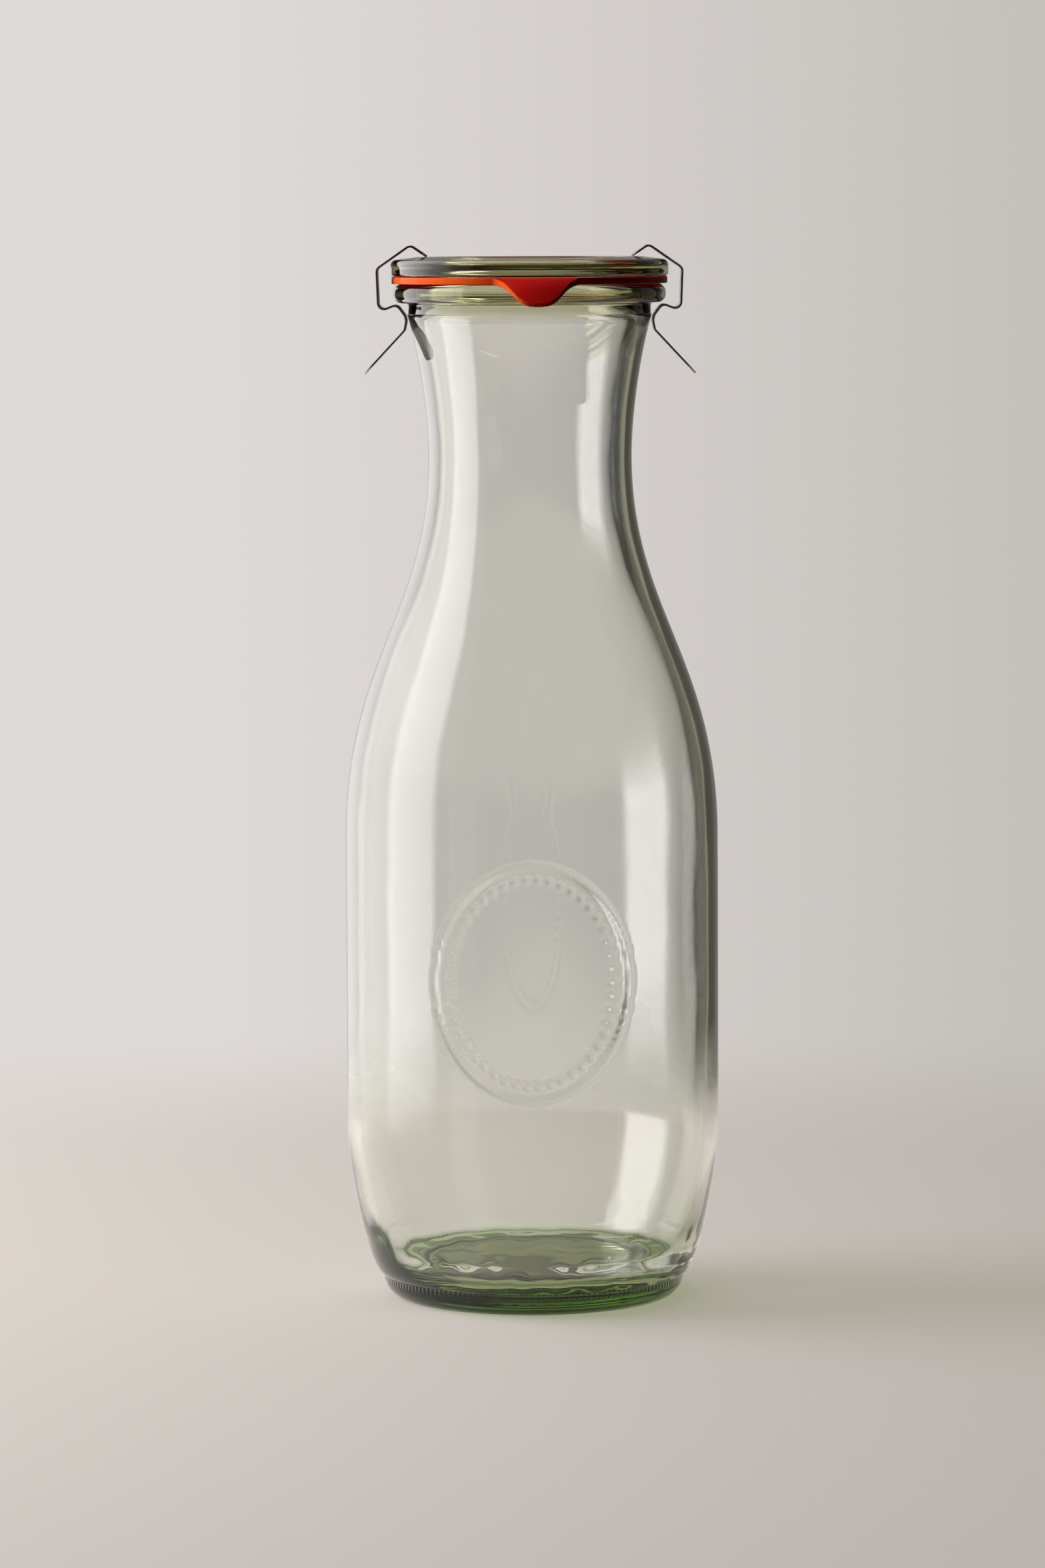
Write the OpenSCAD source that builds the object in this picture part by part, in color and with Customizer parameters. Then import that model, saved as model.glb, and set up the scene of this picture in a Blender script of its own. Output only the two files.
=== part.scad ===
/* [Body] */
// Outer diameter of the straight body
body_d = 91; // [88:0.5:95]
// Height at which the straight body ends and the shoulder begins
shoulder_z = 113; // [108:0.5:118]
// Height at which the heel curve meets the straight body
heel_top_z = 41; // [36:1:46]
// Thickness of the glass in the body and the neck
wall = 2.8; // [2.2:0.1:3.4]

/* [Base] */
// Diameter at the parting line just above the base
heel_d = 74.2; // [72:0.2:76]
// Height of that parting line
heel_z = 5.6; // [5:0.2:6.4]
// Outer diameter of the flat ring that the bottle stands on
stand_d = 64; // [61:0.5:66]
// Width of that ring
stand_w = 2; // [1.4:0.2:3]
// Rise of the hollow under the base
push_up = 2.6; // [1.6:0.2:3.4]
// Thickness of the glass in the middle of the base
base_t = 7.2; // [6:0.2:8.4]
// Extra thickness of the wall at the heel
heel_extra = 3.2; // [2.4:0.2:4]
// Radius between the floor and the wall inside
floor_r = 3.5; // [2.5:0.5:6]

/* [Neck] */
// Outer diameter of the neck at its narrowest
neck_d = 49.4; // [47.4:0.2:51.4]
// Height of the narrowest place
neck_z = 206; // [202:1:210]
// Outer diameter of the neck at the upper parting line
flare_d = 59.4; // [58.4:0.2:60]
// Distance of the upper parting line below the bead
flare_drop = 2.8; // [2.4:0.2:3.6]
// Depth of the step at each parting line
step = 0.25; // [0.15:0.05:0.5]

/* [Rim] */
// Height of the bottle to its sealing face
bottle_h = 247.8; // [245:0.2:251]
// Outer diameter of the bead round the mouth
bead_d = 66.2; // [65.6:0.2:66.8]
// Height of the bead
bead_h = 4.6; // [4.3:0.1:5]
// Rounding of the bead's upper edge
bead_top_r = 2.1; // [1.6:0.1:2.3]
// Rounding of the bead's lower edge
bead_low_r = 1.9; // [1.7:0.1:2]
// Rounding of the mouth's inner edge
mouth_edge_r = 0.5; // [0.3:0.1:0.7]
// Depth of the wide part of the mouth below the sealing face
mouth_depth = 3.6; // [3:0.2:4.4]

/* [Sealing ring] */
// Inner diameter of the rubber ring
ring_inner_d = 54; // [53.4:0.2:54.6]
// Outer diameter of the rubber ring
ring_outer_d = 67; // [66.4:0.2:67.4]
// Thickness of the rubber ring
ring_t = 1.7; // [1.4:0.1:2]
// Rounding of the ring's outer edges
ring_edge_r = 0.3; // [0.1:0.1:0.5]
// Width of the pull tab where it leaves the ring
tab_w = 23; // [18:1:28]
// Distance that the tab stands out from the ring
tab_out = 5; // [4:0.2:6]
// Distance that the tab hangs below the ring
tab_drop = 4.6; // [3.6:0.2:5.4]
// Turn of the tab about the bottle, away from the front
tab_turn = 3; // [-10:1:10]

/* [Lid] */
// Outer diameter of the lid
lid_d = 67.5; // [67:0.1:68]
// Thickness of the lid at its ridge
lid_t = 4.8; // [4.4:0.1:5.2]
// Drop of the lid's sloping shoulder
lid_slope = 0.8; // [0.6:0.1:1.2]
// Rounding of the lid's upper edge
lid_edge_r = 1.5; // [1:0.1:1.8]
// Outer diameter of the ridge that the clamps sit behind
ridge_d = 54.4; // [54:0.2:55]
// Width of the ridge
ridge_w = 1.7; // [1.3:0.1:2]
// Depth of the panel inside the ridge
panel_depth = 0.4; // [0.3:0.05:0.5]
// Clearance between the lid's plug and the ring, all round
plug_gap = 0.3; // [0.2:0.05:0.5]
// Clearance between the lid's plug and the mouth, all round
mouth_gap = 0.7; // [0.5:0.1:0.9]
// Distance that the plug reaches below the sealing face
plug_reach = 2; // [1.4:0.2:2.4]
// Width of the plug's ring
plug_w = 5; // [4:0.5:7]

/* [Clamps] */
// Thickness of the spring steel strip
strip_t = 0.5; // [0.4:0.05:0.6]
// Width of the strip
strip_w = 13; // [11:0.5:15]
// Clearance between the foot's axis and the ridge
foot_gap = 0.6; // [0.5:0.05:0.8]
// Clearance between the clamp and the glass that it bears on
clamp_gap = 0.3; // [0.25:0.05:0.4]
// Clearance between the hook and the underside of the bead
hook_gap = 0.45; // [0.4:0.05:0.6]
// Height of the clamp's top bend above the lid
arch_h = 2.9; // [2.6:0.1:3.4]
// Distance from the foot to the top bend
arch_out = 4; // [3.6:0.1:4.6]
// Distance of the clamp's upright from the ring
upright_gap = 3.3; // [3:0.1:3.8]
// Depth of the hook's outer corner below the bead
hook_depth = 2.1; // [1.8:0.1:2.6]
// Length of the straight tail
tail_len = 14.4; // [11:0.2:17]
// Angle of the tail below level
tail_angle = 47; // [40:1:55]
// Rounding of the tail's corners
tail_r = 3; // [1:0.5:4.5]
// Rounding of the foot's corners
foot_r = 2; // [1:0.5:3]

/* [Medallion] */
// Width of the plain oval medallion
oval_w = 48; // [38:1:52]
// Height of the medallion
oval_h = 58; // [48:1:60]
// Height of the medallion's centre
oval_z = 82; // [79:1:84]
// Width of the medallion's raised band
oval_band = 1.6; // [1:0.2:2.4]
// Relief of the band above the body
relief = 0.6; // [0.4:0.1:0.9]

/* [Hidden] */

turn_fn = 96;
curve_steps = 20;
arc_steps = 6;
oval_steps = 60;

// Handles of the profile's four curves, [outward, along the axis]
heel_start = [3.5, 0.6];
heel_end = 8.7;
base_start = 2.6;
base_end = 3.4;
shoulder_start = 43.7;
shoulder_end = 37.9;
neck_start = 8.4;
neck_end = [3.3, 11.4];

body_r = body_d / 2;
heel_r = heel_d / 2;
stand_r = stand_d / 2;
neck_r = neck_d / 2;
flare_r = flare_d / 2;
bead_r = bead_d / 2;
bead_z = bottle_h - bead_h;
flare_z = bead_z - flare_drop;
floor_z = push_up + base_t;

ring_r = ring_outer_d / 2;
ring_inner_r = ring_inner_d / 2;
lid_z = bottle_h + ring_t;
lid_r = lid_d / 2;
ridge_z = lid_z + lid_t;
ridge_r = ridge_d / 2;
panel_z = ridge_z - panel_depth;
plug_r = ring_inner_r - plug_gap;
plug_z = bottle_h - plug_reach;
mouth_r = plug_r + mouth_gap;
tab_z = bottle_h - tab_drop;
tab_fullness = 0.5;
bead_gap = 0.4;
// The tab and the clamps pass outside both the ring and the bead, whichever is larger
clear_r = max(ring_r, bead_r + bead_gap);

foot = [ridge_r - ridge_w - foot_gap, panel_z + clamp_gap + strip_t / 2];
top_bend = [foot[0] + arch_out, ridge_z + arch_h];
upright_x = clear_r + upright_gap + strip_t / 2;
knee_z = lid_z + 2;
hook_lean = 0.4;
hook_in = 0.9;
hook_top = bead_z - hook_gap - strip_t / 2;
bend_r = 1.5;
grip_r = 3;
grip = [flare_r + clamp_gap - 0.25, flare_z - 0.8];
tail_bend = grip + [0.6, -3];
tail_tip = tail_bend + tail_len * [cos(tail_angle), -sin(tail_angle)];

// A cubic curve from a to d, with the handles b and c
function curve(a, b, c, d) =
    [for (i = [0:curve_steps]) let(t = i / curve_steps, u = 1 - t)
        u * u * u * a + 3 * u * u * t * b + 3 * u * t * t * c + t * t * t * d];

// The arc of radius r that rounds the corner p between its neighbours a and b
function round_corner(a, p, b, r) =
    let(ua = (a - p) / norm(a - p), ub = (b - p) / norm(b - p),
        half = acos(ua * ub) / 2,
        c = p + (ua + ub) / norm(ua + ub) * r / sin(half),
        pa = p + ua * r / tan(half) - c,
        pb = p + ub * r / tan(half) - c,
        start = atan2(pa[1], pa[0]),
        raw = atan2(pb[1], pb[0]) - start,
        sweep = raw > 180 ? raw - 360 : raw < -180 ? raw + 360 : raw)
    [for (i = [0:arc_steps]) let(a = start + sweep * i / arc_steps) c + r * [cos(a), sin(a)]];

// The line through [x, y, radius] points, with each corner rounded by its radius
function rounded(pts) =
    [for (i = [0:len(pts) - 1]) let(p = [pts[i][0], pts[i][1]])
        each (i == 0 || i == len(pts) - 1 || pts[i][2] == 0 ? [p] :
            round_corner([pts[i - 1][0], pts[i - 1][1]], p,
                [pts[i + 1][0], pts[i + 1][1]], pts[i][2]))];

function reversed(v) = [for (i = [len(v) - 1:-1:0]) v[i]];

// A profile line moved in by the wall, plus extra that fades along the line
function inset(v, extra = 0) =
    [for (i = [0:len(v) - 1]) let(u = 1 - i / (len(v) - 1))
        [v[i][0] - wall - extra * u * u, v[i][1]]];

// A line moved sideways by d, to the left of its direction
function beside(v, d) =
    [for (i = [0:len(v) - 1])
        let(t = v[min(i + 1, len(v) - 1)] - v[max(i - 1, 0)])
        v[i] + d * [-t[1], t[0]] / norm(t)];

// ---- Bottle ----
heel_line = curve([heel_r, heel_z], [heel_r, heel_z] + heel_start,
    [body_r, heel_top_z - heel_end], [body_r, heel_top_z]);
shoulder_line = curve([body_r, shoulder_z], [body_r, shoulder_z + shoulder_start],
    [neck_r, neck_z - shoulder_end], [neck_r, neck_z]);
neck_line = curve([neck_r, neck_z], [neck_r, neck_z + neck_start],
    [flare_r, flare_z] - neck_end, [flare_r, flare_z]);

base_line = concat(rounded([[stand_r - stand_w - 3, push_up, 0], [stand_r - stand_w, 0, 0.6],
        [stand_r - stand_w / 2, 0, 0]]),
    curve([stand_r, 0], [stand_r + base_start, 0],
        [heel_r - step, heel_z - base_end], [heel_r - step, heel_z]));
rim_line = rounded([[flare_r - step, flare_z, 0], [flare_r - step, bead_z, 0.8],
    [bead_r, bead_z, bead_low_r], [bead_r, bottle_h, bead_top_r],
    [mouth_r, bottle_h, mouth_edge_r], [mouth_r, bottle_h - mouth_depth, 0]]);
outer_line = concat(base_line, heel_line, shoulder_line, neck_line, rim_line);

// Inside, the floor's rounded corner leads into the thickened heel
heel_inside = [for (p = inset(heel_line, heel_extra)) if (p[1] > floor_z + floor_r + 1) p];
floor_line = rounded([[0, floor_z, 0], [heel_inside[0][0] - 1, floor_z - 1, floor_r],
    [heel_inside[0][0], heel_inside[0][1], 0]]);
inner_line = concat(floor_line, heel_inside, inset(shoulder_line), inset(neck_line));

module bottle_glass() {
    rotate_extrude($fn = turn_fn)
        polygon(concat([[0, push_up]], outer_line, reversed(inner_line)));
}

function oval(w, h) =
    [for (i = [0:oval_steps - 1]) let(a = 360 * i / oval_steps) [w / 2 * cos(a), h / 2 * sin(a)]];

// A raised oval band on the front of the body, with a bare field inside it
module medallion() {
    intersection() {
        translate([0, 0, oval_z]) rotate([90, 0, 0]) linear_extrude(body_d) difference() {
            polygon(oval(oval_w, oval_h));
            polygon(oval(oval_w - 2 * oval_band, oval_h - 2 * oval_band));
        }
        translate([0, 0, oval_z - oval_h / 2 - 1])
            cylinder(r = body_r + relief, h = oval_h + 2, $fn = turn_fn);
        difference() {
            translate([-body_r, -body_d, 0]) cube([body_d, body_d, bottle_h]);
            cylinder(r = body_r - wall / 2, h = bottle_h, $fn = turn_fn);
        }
    }
}

module bottle() {
    color([0.72, 0.84, 0.74, 0.5]) union() {
        bottle_glass();
        medallion();
    }
}

// ---- Lid ----
lid_line = rounded([[0, panel_z, 0], [ridge_r - ridge_w, panel_z, 0.15],
    [ridge_r - ridge_w, ridge_z, 0.2], [ridge_r, ridge_z, 1.5],
    [lid_r, ridge_z - lid_slope, lid_edge_r], [lid_r, lid_z, 0.9], [plug_r, lid_z, 0],
    [plug_r, plug_z, 0.8], [plug_r - plug_w, plug_z, 0.8], [plug_r - plug_w, lid_z, 0.5],
    [0, lid_z, 0]]);

module lid() {
    color([0.7, 0.82, 0.7, 0.5]) rotate_extrude($fn = turn_fn) polygon(lid_line);
}

// ---- Sealing ring ----
// The tab's bell outline in plan, x along the ring's edge and y outwards
tab_outline = [for (i = [-12:12]) let(x = tab_w / 2 * i / 12, bell = (1 + cos(180 * i / 12)) / 2)
    [x, sqrt(clear_r * clear_r - x * x) + tab_out * pow(bell, tab_fullness)]];
tab_top = curve([clear_r - 2, lid_z], [clear_r + 2.4, lid_z],
    [clear_r + tab_out - 1.2, tab_z + 3.4], [clear_r + tab_out + 0.4, tab_z + 0.4]);
tab_under = curve([clear_r + tab_out - 0.8, tab_z], [clear_r + tab_out - 2, tab_z + 2.2],
    [clear_r + 1.6, bottle_h], [clear_r - 2, bottle_h]);

module pull_tab() {
    rotate([0, 0, tab_turn - 90]) intersection() {
        rotate([0, 0, -45]) rotate_extrude(angle = 90, $fn = turn_fn)
            polygon(concat([[ring_r - 3, lid_z]], tab_top, tab_under, [[ring_r - 3, bottle_h]]));
        translate([0, 0, tab_z - 1]) linear_extrude(lid_z - tab_z + 2)
            rotate(-90) polygon(concat([[-tab_w / 2, 0]], tab_outline, [[tab_w / 2, 0]]));
    }
}

module sealing_ring() {
    color([0.86, 0.2, 0.08]) union() {
        rotate_extrude($fn = turn_fn) polygon(rounded([[ring_inner_r, bottle_h, 0],
            [ring_r, bottle_h, ring_edge_r], [ring_r, lid_z, ring_edge_r],
            [ring_inner_r, lid_z, 0]]));
        pull_tab();
    }
}

// ---- Clamps ----
strip_line = rounded([[foot[0], foot[1], 0], [top_bend[0], top_bend[1], bend_r],
    [upright_x, knee_z, bend_r], [upright_x - hook_lean, bead_z - hook_depth, bend_r],
    [bead_r - hook_in, hook_top + 0.35, bend_r], [grip[0], grip[1], grip_r],
    [tail_bend[0], tail_bend[1], bend_r], [tail_tip[0], tail_tip[1], 0]]);

// What is cut away to round one corner of a strip of steel
module corner_waste(r) {
    linear_extrude(4 * strip_t, center = true) difference() {
        translate([-1, -1]) square(r + 1);
        translate([r, r]) circle(r, $fn = 48);
    }
}

// Rounds both corners of the strip's end at p, where the strip runs back at angle a
module end_waste(p, a, r) {
    for (side = [0, 1]) mirror([0, side, 0])
        translate([p[0], -strip_w / 2, p[1]]) rotate([0, -a, 0]) corner_waste(r);
}

// One clamp, on the +X side of the bottle
module clamp() {
    difference() {
        rotate([90, 0, 0]) linear_extrude(strip_w, center = true)
            polygon(concat(beside(strip_line, strip_t / 2),
                reversed(beside(strip_line, -strip_t / 2))));
        end_waste(tail_tip, 180 - tail_angle, tail_r);
        end_waste(foot, atan2(top_bend[1] - foot[1], arch_out), foot_r);
    }
}

module clamp_right() { color([0.6, 0.61, 0.62]) clamp(); }

module clamp_left() { color([0.6, 0.61, 0.62]) mirror([1, 0, 0]) clamp(); }

bottle();
lid();
sealing_ring();
clamp_left();
clamp_right();
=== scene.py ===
import math

import bpy
from mathutils import Matrix, Vector


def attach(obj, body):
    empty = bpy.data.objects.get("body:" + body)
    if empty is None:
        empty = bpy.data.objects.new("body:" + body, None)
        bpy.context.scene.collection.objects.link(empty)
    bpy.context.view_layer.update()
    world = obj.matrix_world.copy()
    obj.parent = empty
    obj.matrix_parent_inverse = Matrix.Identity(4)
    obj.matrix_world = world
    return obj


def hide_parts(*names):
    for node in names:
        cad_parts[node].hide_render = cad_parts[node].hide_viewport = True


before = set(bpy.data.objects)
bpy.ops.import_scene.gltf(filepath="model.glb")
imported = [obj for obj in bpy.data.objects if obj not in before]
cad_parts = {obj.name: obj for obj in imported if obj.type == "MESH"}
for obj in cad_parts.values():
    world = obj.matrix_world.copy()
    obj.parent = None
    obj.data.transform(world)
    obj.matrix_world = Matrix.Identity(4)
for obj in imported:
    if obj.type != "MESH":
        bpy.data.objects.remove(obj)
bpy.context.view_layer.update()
scene = bpy.context.scene
scene.view_settings.view_transform = "Standard"
mm = 0.001
samePoint = 1e-4     # millimetres: two points of a line that lie nearer than this are one


class Flow:  # a socket that can stand in plain arithmetic
    def __init__(self, graph, socket):
        self.graph, self.socket = graph, socket

    def __add__(self, other):
        return self.graph.maths("ADD", self, other)

    def __radd__(self, other):
        return self.graph.maths("ADD", other, self)

    def __sub__(self, other):
        return self.graph.maths("SUBTRACT", self, other)

    def __rsub__(self, other):
        return self.graph.maths("SUBTRACT", other, self)

    def __mul__(self, other):
        return self.graph.maths("MULTIPLY", self, other)

    def __rmul__(self, other):
        return self.graph.maths("MULTIPLY", other, self)

    def __truediv__(self, other):
        return self.graph.maths("DIVIDE", self, other)

    def __rtruediv__(self, other):
        return self.graph.maths("DIVIDE", other, self)

    def __pow__(self, other):
        return self.graph.maths("POWER", self, other)

    def __neg__(self):
        return self.graph.maths("MULTIPLY", self, -1.0)

    def __abs__(self):
        return self.graph.maths("ABSOLUTE", self)


class Made:  # a node that has just been made
    def __init__(self, graph, node):
        self.graph, self.node = graph, node

    def out(self, name=0):
        return Flow(self.graph, self.node.outputs[name])


class Graph:  # makes and links the nodes of one tree
    def __init__(self, tree):
        self.tree = tree

    def node(self, kind, settings=None, sockets=None):  # its settings, then its sockets' values or links
        made = self.tree.nodes.new(kind)
        for name, value in (settings or {}).items():
            if name == "stops":
                ramp = made.color_ramp
                while len(ramp.elements) < len(value):
                    ramp.elements.new(0.5)
                for element, (place, colour) in zip(ramp.elements, value):
                    element.position, element.color = place, (*colour, 1.0)
            else:
                setattr(made, name, value)
        for name, value in (sockets or {}).items():
            if isinstance(value, Made):
                value = value.out()
            if isinstance(value, Flow):
                self.tree.links.new(value.socket, made.inputs[name])
            else:
                made.inputs[name].default_value = value
        return Made(self, made)

    def maths(self, operation, *values):
        return self.node("ShaderNodeMath", {"operation": operation}, dict(enumerate(values))).out()

    def smooth(self, value, low, high, start=0.0, end=1.0):  # start at low, end at high, and eased between
        return self.node("ShaderNodeMapRange", {"interpolation_type": "SMOOTHSTEP"},
                         {0: value, 1: low, 2: high, 3: start, 4: end}).out()

    def parts(self, vector):
        split = self.node("ShaderNodeSeparateXYZ", None, {0: vector})
        return split.out(0), split.out(1), split.out(2)

    def join(self, x, y, z):
        return self.node("ShaderNodeCombineXYZ", None, {0: x, 1: y, 2: z}).out()

    def blend(self, factor, first, second):  # two colours, or colour sockets
        ends = [colour if isinstance(colour, Flow) else (*colour, 1.0) for colour in (first, second)]
        return self.node("ShaderNodeMix", {"data_type": "RGBA"}, {0: factor, 6: ends[0], 7: ends[1]}).out(2)

    def stretched(self, vector, scale):
        return self.node("ShaderNodeVectorMath", {"operation": "MULTIPLY"}, {0: vector, 1: scale}).out()

    def noise(self, vector, scale, detail=2.0, roughness=0.5, seed=0.0):
        return self.node("ShaderNodeTexNoise", {"noise_dimensions": "4D"},
                         {"Vector": vector, "W": seed, "Scale": scale, "Detail": detail,
                          "Roughness": roughness}).out()

    def wander(self, vector, scale, detail, seed):  # noise between about -1 and 1
        return (self.noise(vector, scale, detail, 0.5, seed) - 0.5) * 2.0


def finish(name, build):  # a material whose nodes build() makes
    material = bpy.data.materials.new(name)
    material.use_nodes = True
    material.node_tree.nodes.clear()
    graph = Graph(material.node_tree)
    graph.node("ShaderNodeOutputMaterial", None, build(graph))
    return material


def geometryTree(name, inputs, build):  # a Geometry Nodes group, and the identifiers of its inputs
    tree = bpy.data.node_groups.new(name, "GeometryNodeTree")
    tree.interface.new_socket("Geometry", in_out="INPUT", socket_type="NodeSocketGeometry")
    tree.interface.new_socket("Geometry", in_out="OUTPUT", socket_type="NodeSocketGeometry")
    keys = {}
    for label, kind in inputs.items():
        made = tree.interface.new_socket(label, in_out="INPUT", socket_type="NodeSocket" + kind)
        keys[label] = made.identifier
    graph = Graph(tree)
    entry = graph.node("NodeGroupInput")
    whole = graph.node("GeometryNodeRealizeInstances", None, {"Geometry": build(graph, entry)})
    painted = graph.node("GeometryNodeSetMaterial", None,
                         {"Geometry": whole, "Material": entry.out("Material")})
    graph.node("NodeGroupOutput", None, {"Geometry": painted})
    return tree, keys


def grown(name, points, treeAndKeys, values):  # a piece grown from a wire by a Geometry Nodes group
    tree, keys = treeAndKeys
    mesh = bpy.data.meshes.new(name)
    mesh.from_pydata(points, [(i, i + 1) for i in range(len(points) - 1)], [])
    piece = bpy.data.objects.new(name, mesh)
    scene.collection.objects.link(piece)
    modifier = piece.modifiers.new(tree.name, "NODES")
    modifier.node_group = tree
    for label, value in values.items():
        modifier[keys[label]] = value
    return piece


def settled(piece):  # the evaluated shape becomes the piece's own plain mesh
    graph = bpy.context.evaluated_depsgraph_get()
    mesh = bpy.data.meshes.new_from_object(piece.evaluated_get(graph), depsgraph=graph)
    piece.modifiers.clear()
    piece.data = mesh
    mesh.name = piece.name
    return piece


def dressed(piece, body, node):
    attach(piece, body)
    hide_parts(node)
    print(piece.name, len(piece.data.polygons), "faces")


def cubic(a, b, c, d, steps=60):  # a smooth curve from a to d that leaves towards b and arrives from c
    line = []
    for i in range(steps + 1):
        t = i / steps
        u = 1 - t
        line.append(tuple(u ** 3 * a[k] + 3 * u * u * t * b[k] + 3 * u * t * t * c[k] + t ** 3 * d[k]
                          for k in (0, 1)))
    return line


def roundCorner(a, p, b, radius, steps):  # the arc that replaces the corner p between a and b
    a, p, b = Vector(a), Vector(p), Vector(b)
    ua, ub = (a - p).normalized(), (b - p).normalized()
    half = ua.angle(ub) / 2
    centre = p + (ua + ub).normalized() * radius / math.sin(half)
    first = p + ua * radius / math.tan(half) - centre
    last = p + ub * radius / math.tan(half) - centre
    start = math.atan2(first.y, first.x)
    sweep = (math.atan2(last.y, last.x) - start + math.pi) % (2 * math.pi) - math.pi
    return [(centre.x + radius * math.cos(start + sweep * i / steps),
             centre.y + radius * math.sin(start + sweep * i / steps)) for i in range(steps + 1)]


def rounded(points, steps=7):  # a line through (x, y, radius) points
    line = []
    for i, (x, y, radius) in enumerate(points):
        if i in (0, len(points) - 1) or radius == 0:
            line.append((x, y))
        else:
            line += roundCorner(points[i - 1][:2], (x, y), points[i + 1][:2], radius, steps)
    return line


def respaced(line, step):  # the same line with points at most step apart
    out = [line[0]]
    for a, b in zip(line, line[1:]):
        n = max(1, math.ceil(math.dist(a, b) / step - 1e-6))
        out += [(a[0] + (b[0] - a[0]) * i / n, a[1] + (b[1] - a[1]) * i / n) for i in range(1, n + 1)]
    return out


def thinned(line, step):  # a finely stepped curve at even steps
    lengths = [0.0]
    for a, b in zip(line, line[1:]):
        lengths.append(lengths[-1] + math.dist(a, b))
    n = max(2, round(lengths[-1] / step))
    out, k = [], 0
    for i in range(n + 1):
        target = lengths[-1] * i / n
        while k < len(lengths) - 2 and lengths[k + 1] < target:
            k += 1
        t = (target - lengths[k]) / max(lengths[k + 1] - lengths[k], 1e-9)
        out.append(tuple(line[k][j] + (line[k + 1][j] - line[k][j]) * t for j in (0, 1)))
    return out


def joined(*lines):  # end to end, with the point that two lines share kept once
    out = []
    for line in lines:
        out += [p for i, p in enumerate(line) if i or not out or math.dist(out[-1], p) > samePoint]
    return out


def section(line):  # mm in the XZ plane to metres in space
    return [(x * mm, 0.0, z * mm) for x, z in line]


view = {
    "place": (-0.00223, -1.542, 0.264),     # metres
    "pitch": 5.122,      # degrees below level
    "roll": -0.00453,    # radians
    "lens": 145.35,
    "sensor": 36,        # millimetres, as the lens
    "reach": 50,         # how far it sees, in metres
}
camera = bpy.data.objects.new("camera", bpy.data.cameras.new("camera"))
camera.data.lens = view["lens"]
camera.data.sensor_width = view["sensor"]
camera.data.clip_end = view["reach"]
tilt = Matrix.Rotation(math.radians(90 - view["pitch"]), 4, "X")
camera.matrix_world = Matrix.Translation(view["place"]) @ tilt @ Matrix.Rotation(view["roll"], 4, "Z")
scene.collection.objects.link(camera)
scene.camera = camera

studio = {
    "paper": (0.72, 0.675, 0.645),
    "grain": 900.0, "grainShade": 0.985,
    "under": (0.50, 0.49, 0.38),    # the paper in the shade of the base
    "underR": (0.0300, 0.0335),     # that shade ends between these radii
    "floorR": 1.2, "floorRings": 24, "floorSides": 96,
    "fade": (0.42, 1.02),           # where the floor gives way to the backdrop
    "fadeBehind": 2.0,              # how much sooner it does so behind the bottle
    "fadeBeside": 1.6,              # and at its sides
    "keyPlace": (-1.1, 0.08, 0.78),
    "keyAim": (0.0, 0.0, 0.1),
    "keySize": 1.0,
    "keyPower": 23.5,
    "keyColour": (1.0, 0.985, 0.96),
}


def floorNodes(g):
    place = g.node("ShaderNodeTexCoord").out("Object")
    x, y, z = g.parts(place)
    near = g.maths("SQRT", x * x + y * y)
    back = g.maths("MAXIMUM", y, 0.0) * studio["fadeBehind"] + g.maths("MINIMUM", y, 0.0)
    far = g.maths("SQRT", (x * studio["fadeBeside"]) ** 2.0 + back * back)
    grain = g.smooth(g.noise(place, studio["grain"], 3.0), 0.3, 0.7)
    colour = g.blend(grain, studio["paper"], [c * studio["grainShade"] for c in studio["paper"]])
    colour = g.blend(g.smooth(near, *studio["underR"]), studio["under"], colour)
    paper = g.node("ShaderNodeBsdfDiffuse", None, {"Color": colour, "Roughness": 0.0})
    clear = g.node("ShaderNodeBsdfTransparent")
    fade = g.smooth(far, *studio["fade"])
    return {"Surface": g.node("ShaderNodeMixShader", None, {0: fade, 1: paper, 2: clear})}


def disc(radius, rings, sides):  # points and faces, ring by ring from the middle
    points = [(0.0, 0.0, 0.0)]
    faces = [(0, 1 + k, 1 + (k + 1) % sides) for k in range(sides)]
    for i in range(1, rings + 1):
        for k in range(sides):
            turn = 2 * math.pi * k / sides
            reach = radius * i / rings
            points.append((reach * math.cos(turn), reach * math.sin(turn), 0.0))
    for i in range(rings - 1):
        a, b = 1 + i * sides, 1 + (i + 1) * sides
        faces += [(a + k, b + k, b + (k + 1) % sides, a + (k + 1) % sides) for k in range(sides)]
    return points, faces


floorPoints, floorFaces = disc(studio["floorR"], studio["floorRings"], studio["floorSides"])
floorMesh = bpy.data.meshes.new("floor")
floorMesh.from_pydata(floorPoints, [], floorFaces)
floorMesh.materials.append(finish("floor paper", floorNodes))
floor = bpy.data.objects.new("floor", floorMesh)
scene.collection.objects.link(floor)
floor.visible_diffuse = False

key = bpy.data.objects.new("key", bpy.data.lights.new("key", "AREA"))
key.data.shape = "SQUARE"
key.data.size = studio["keySize"]
key.data.energy = studio["keyPower"]
key.data.color = studio["keyColour"]
key.location = studio["keyPlace"]
aim = Vector(studio["keyAim"]) - Vector(studio["keyPlace"])
key.rotation_euler = aim.to_track_quat("-Z", "Y").to_euler()
key.visible_camera = key.visible_glossy = key.visible_transmission = False
scene.collection.objects.link(key)

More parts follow.
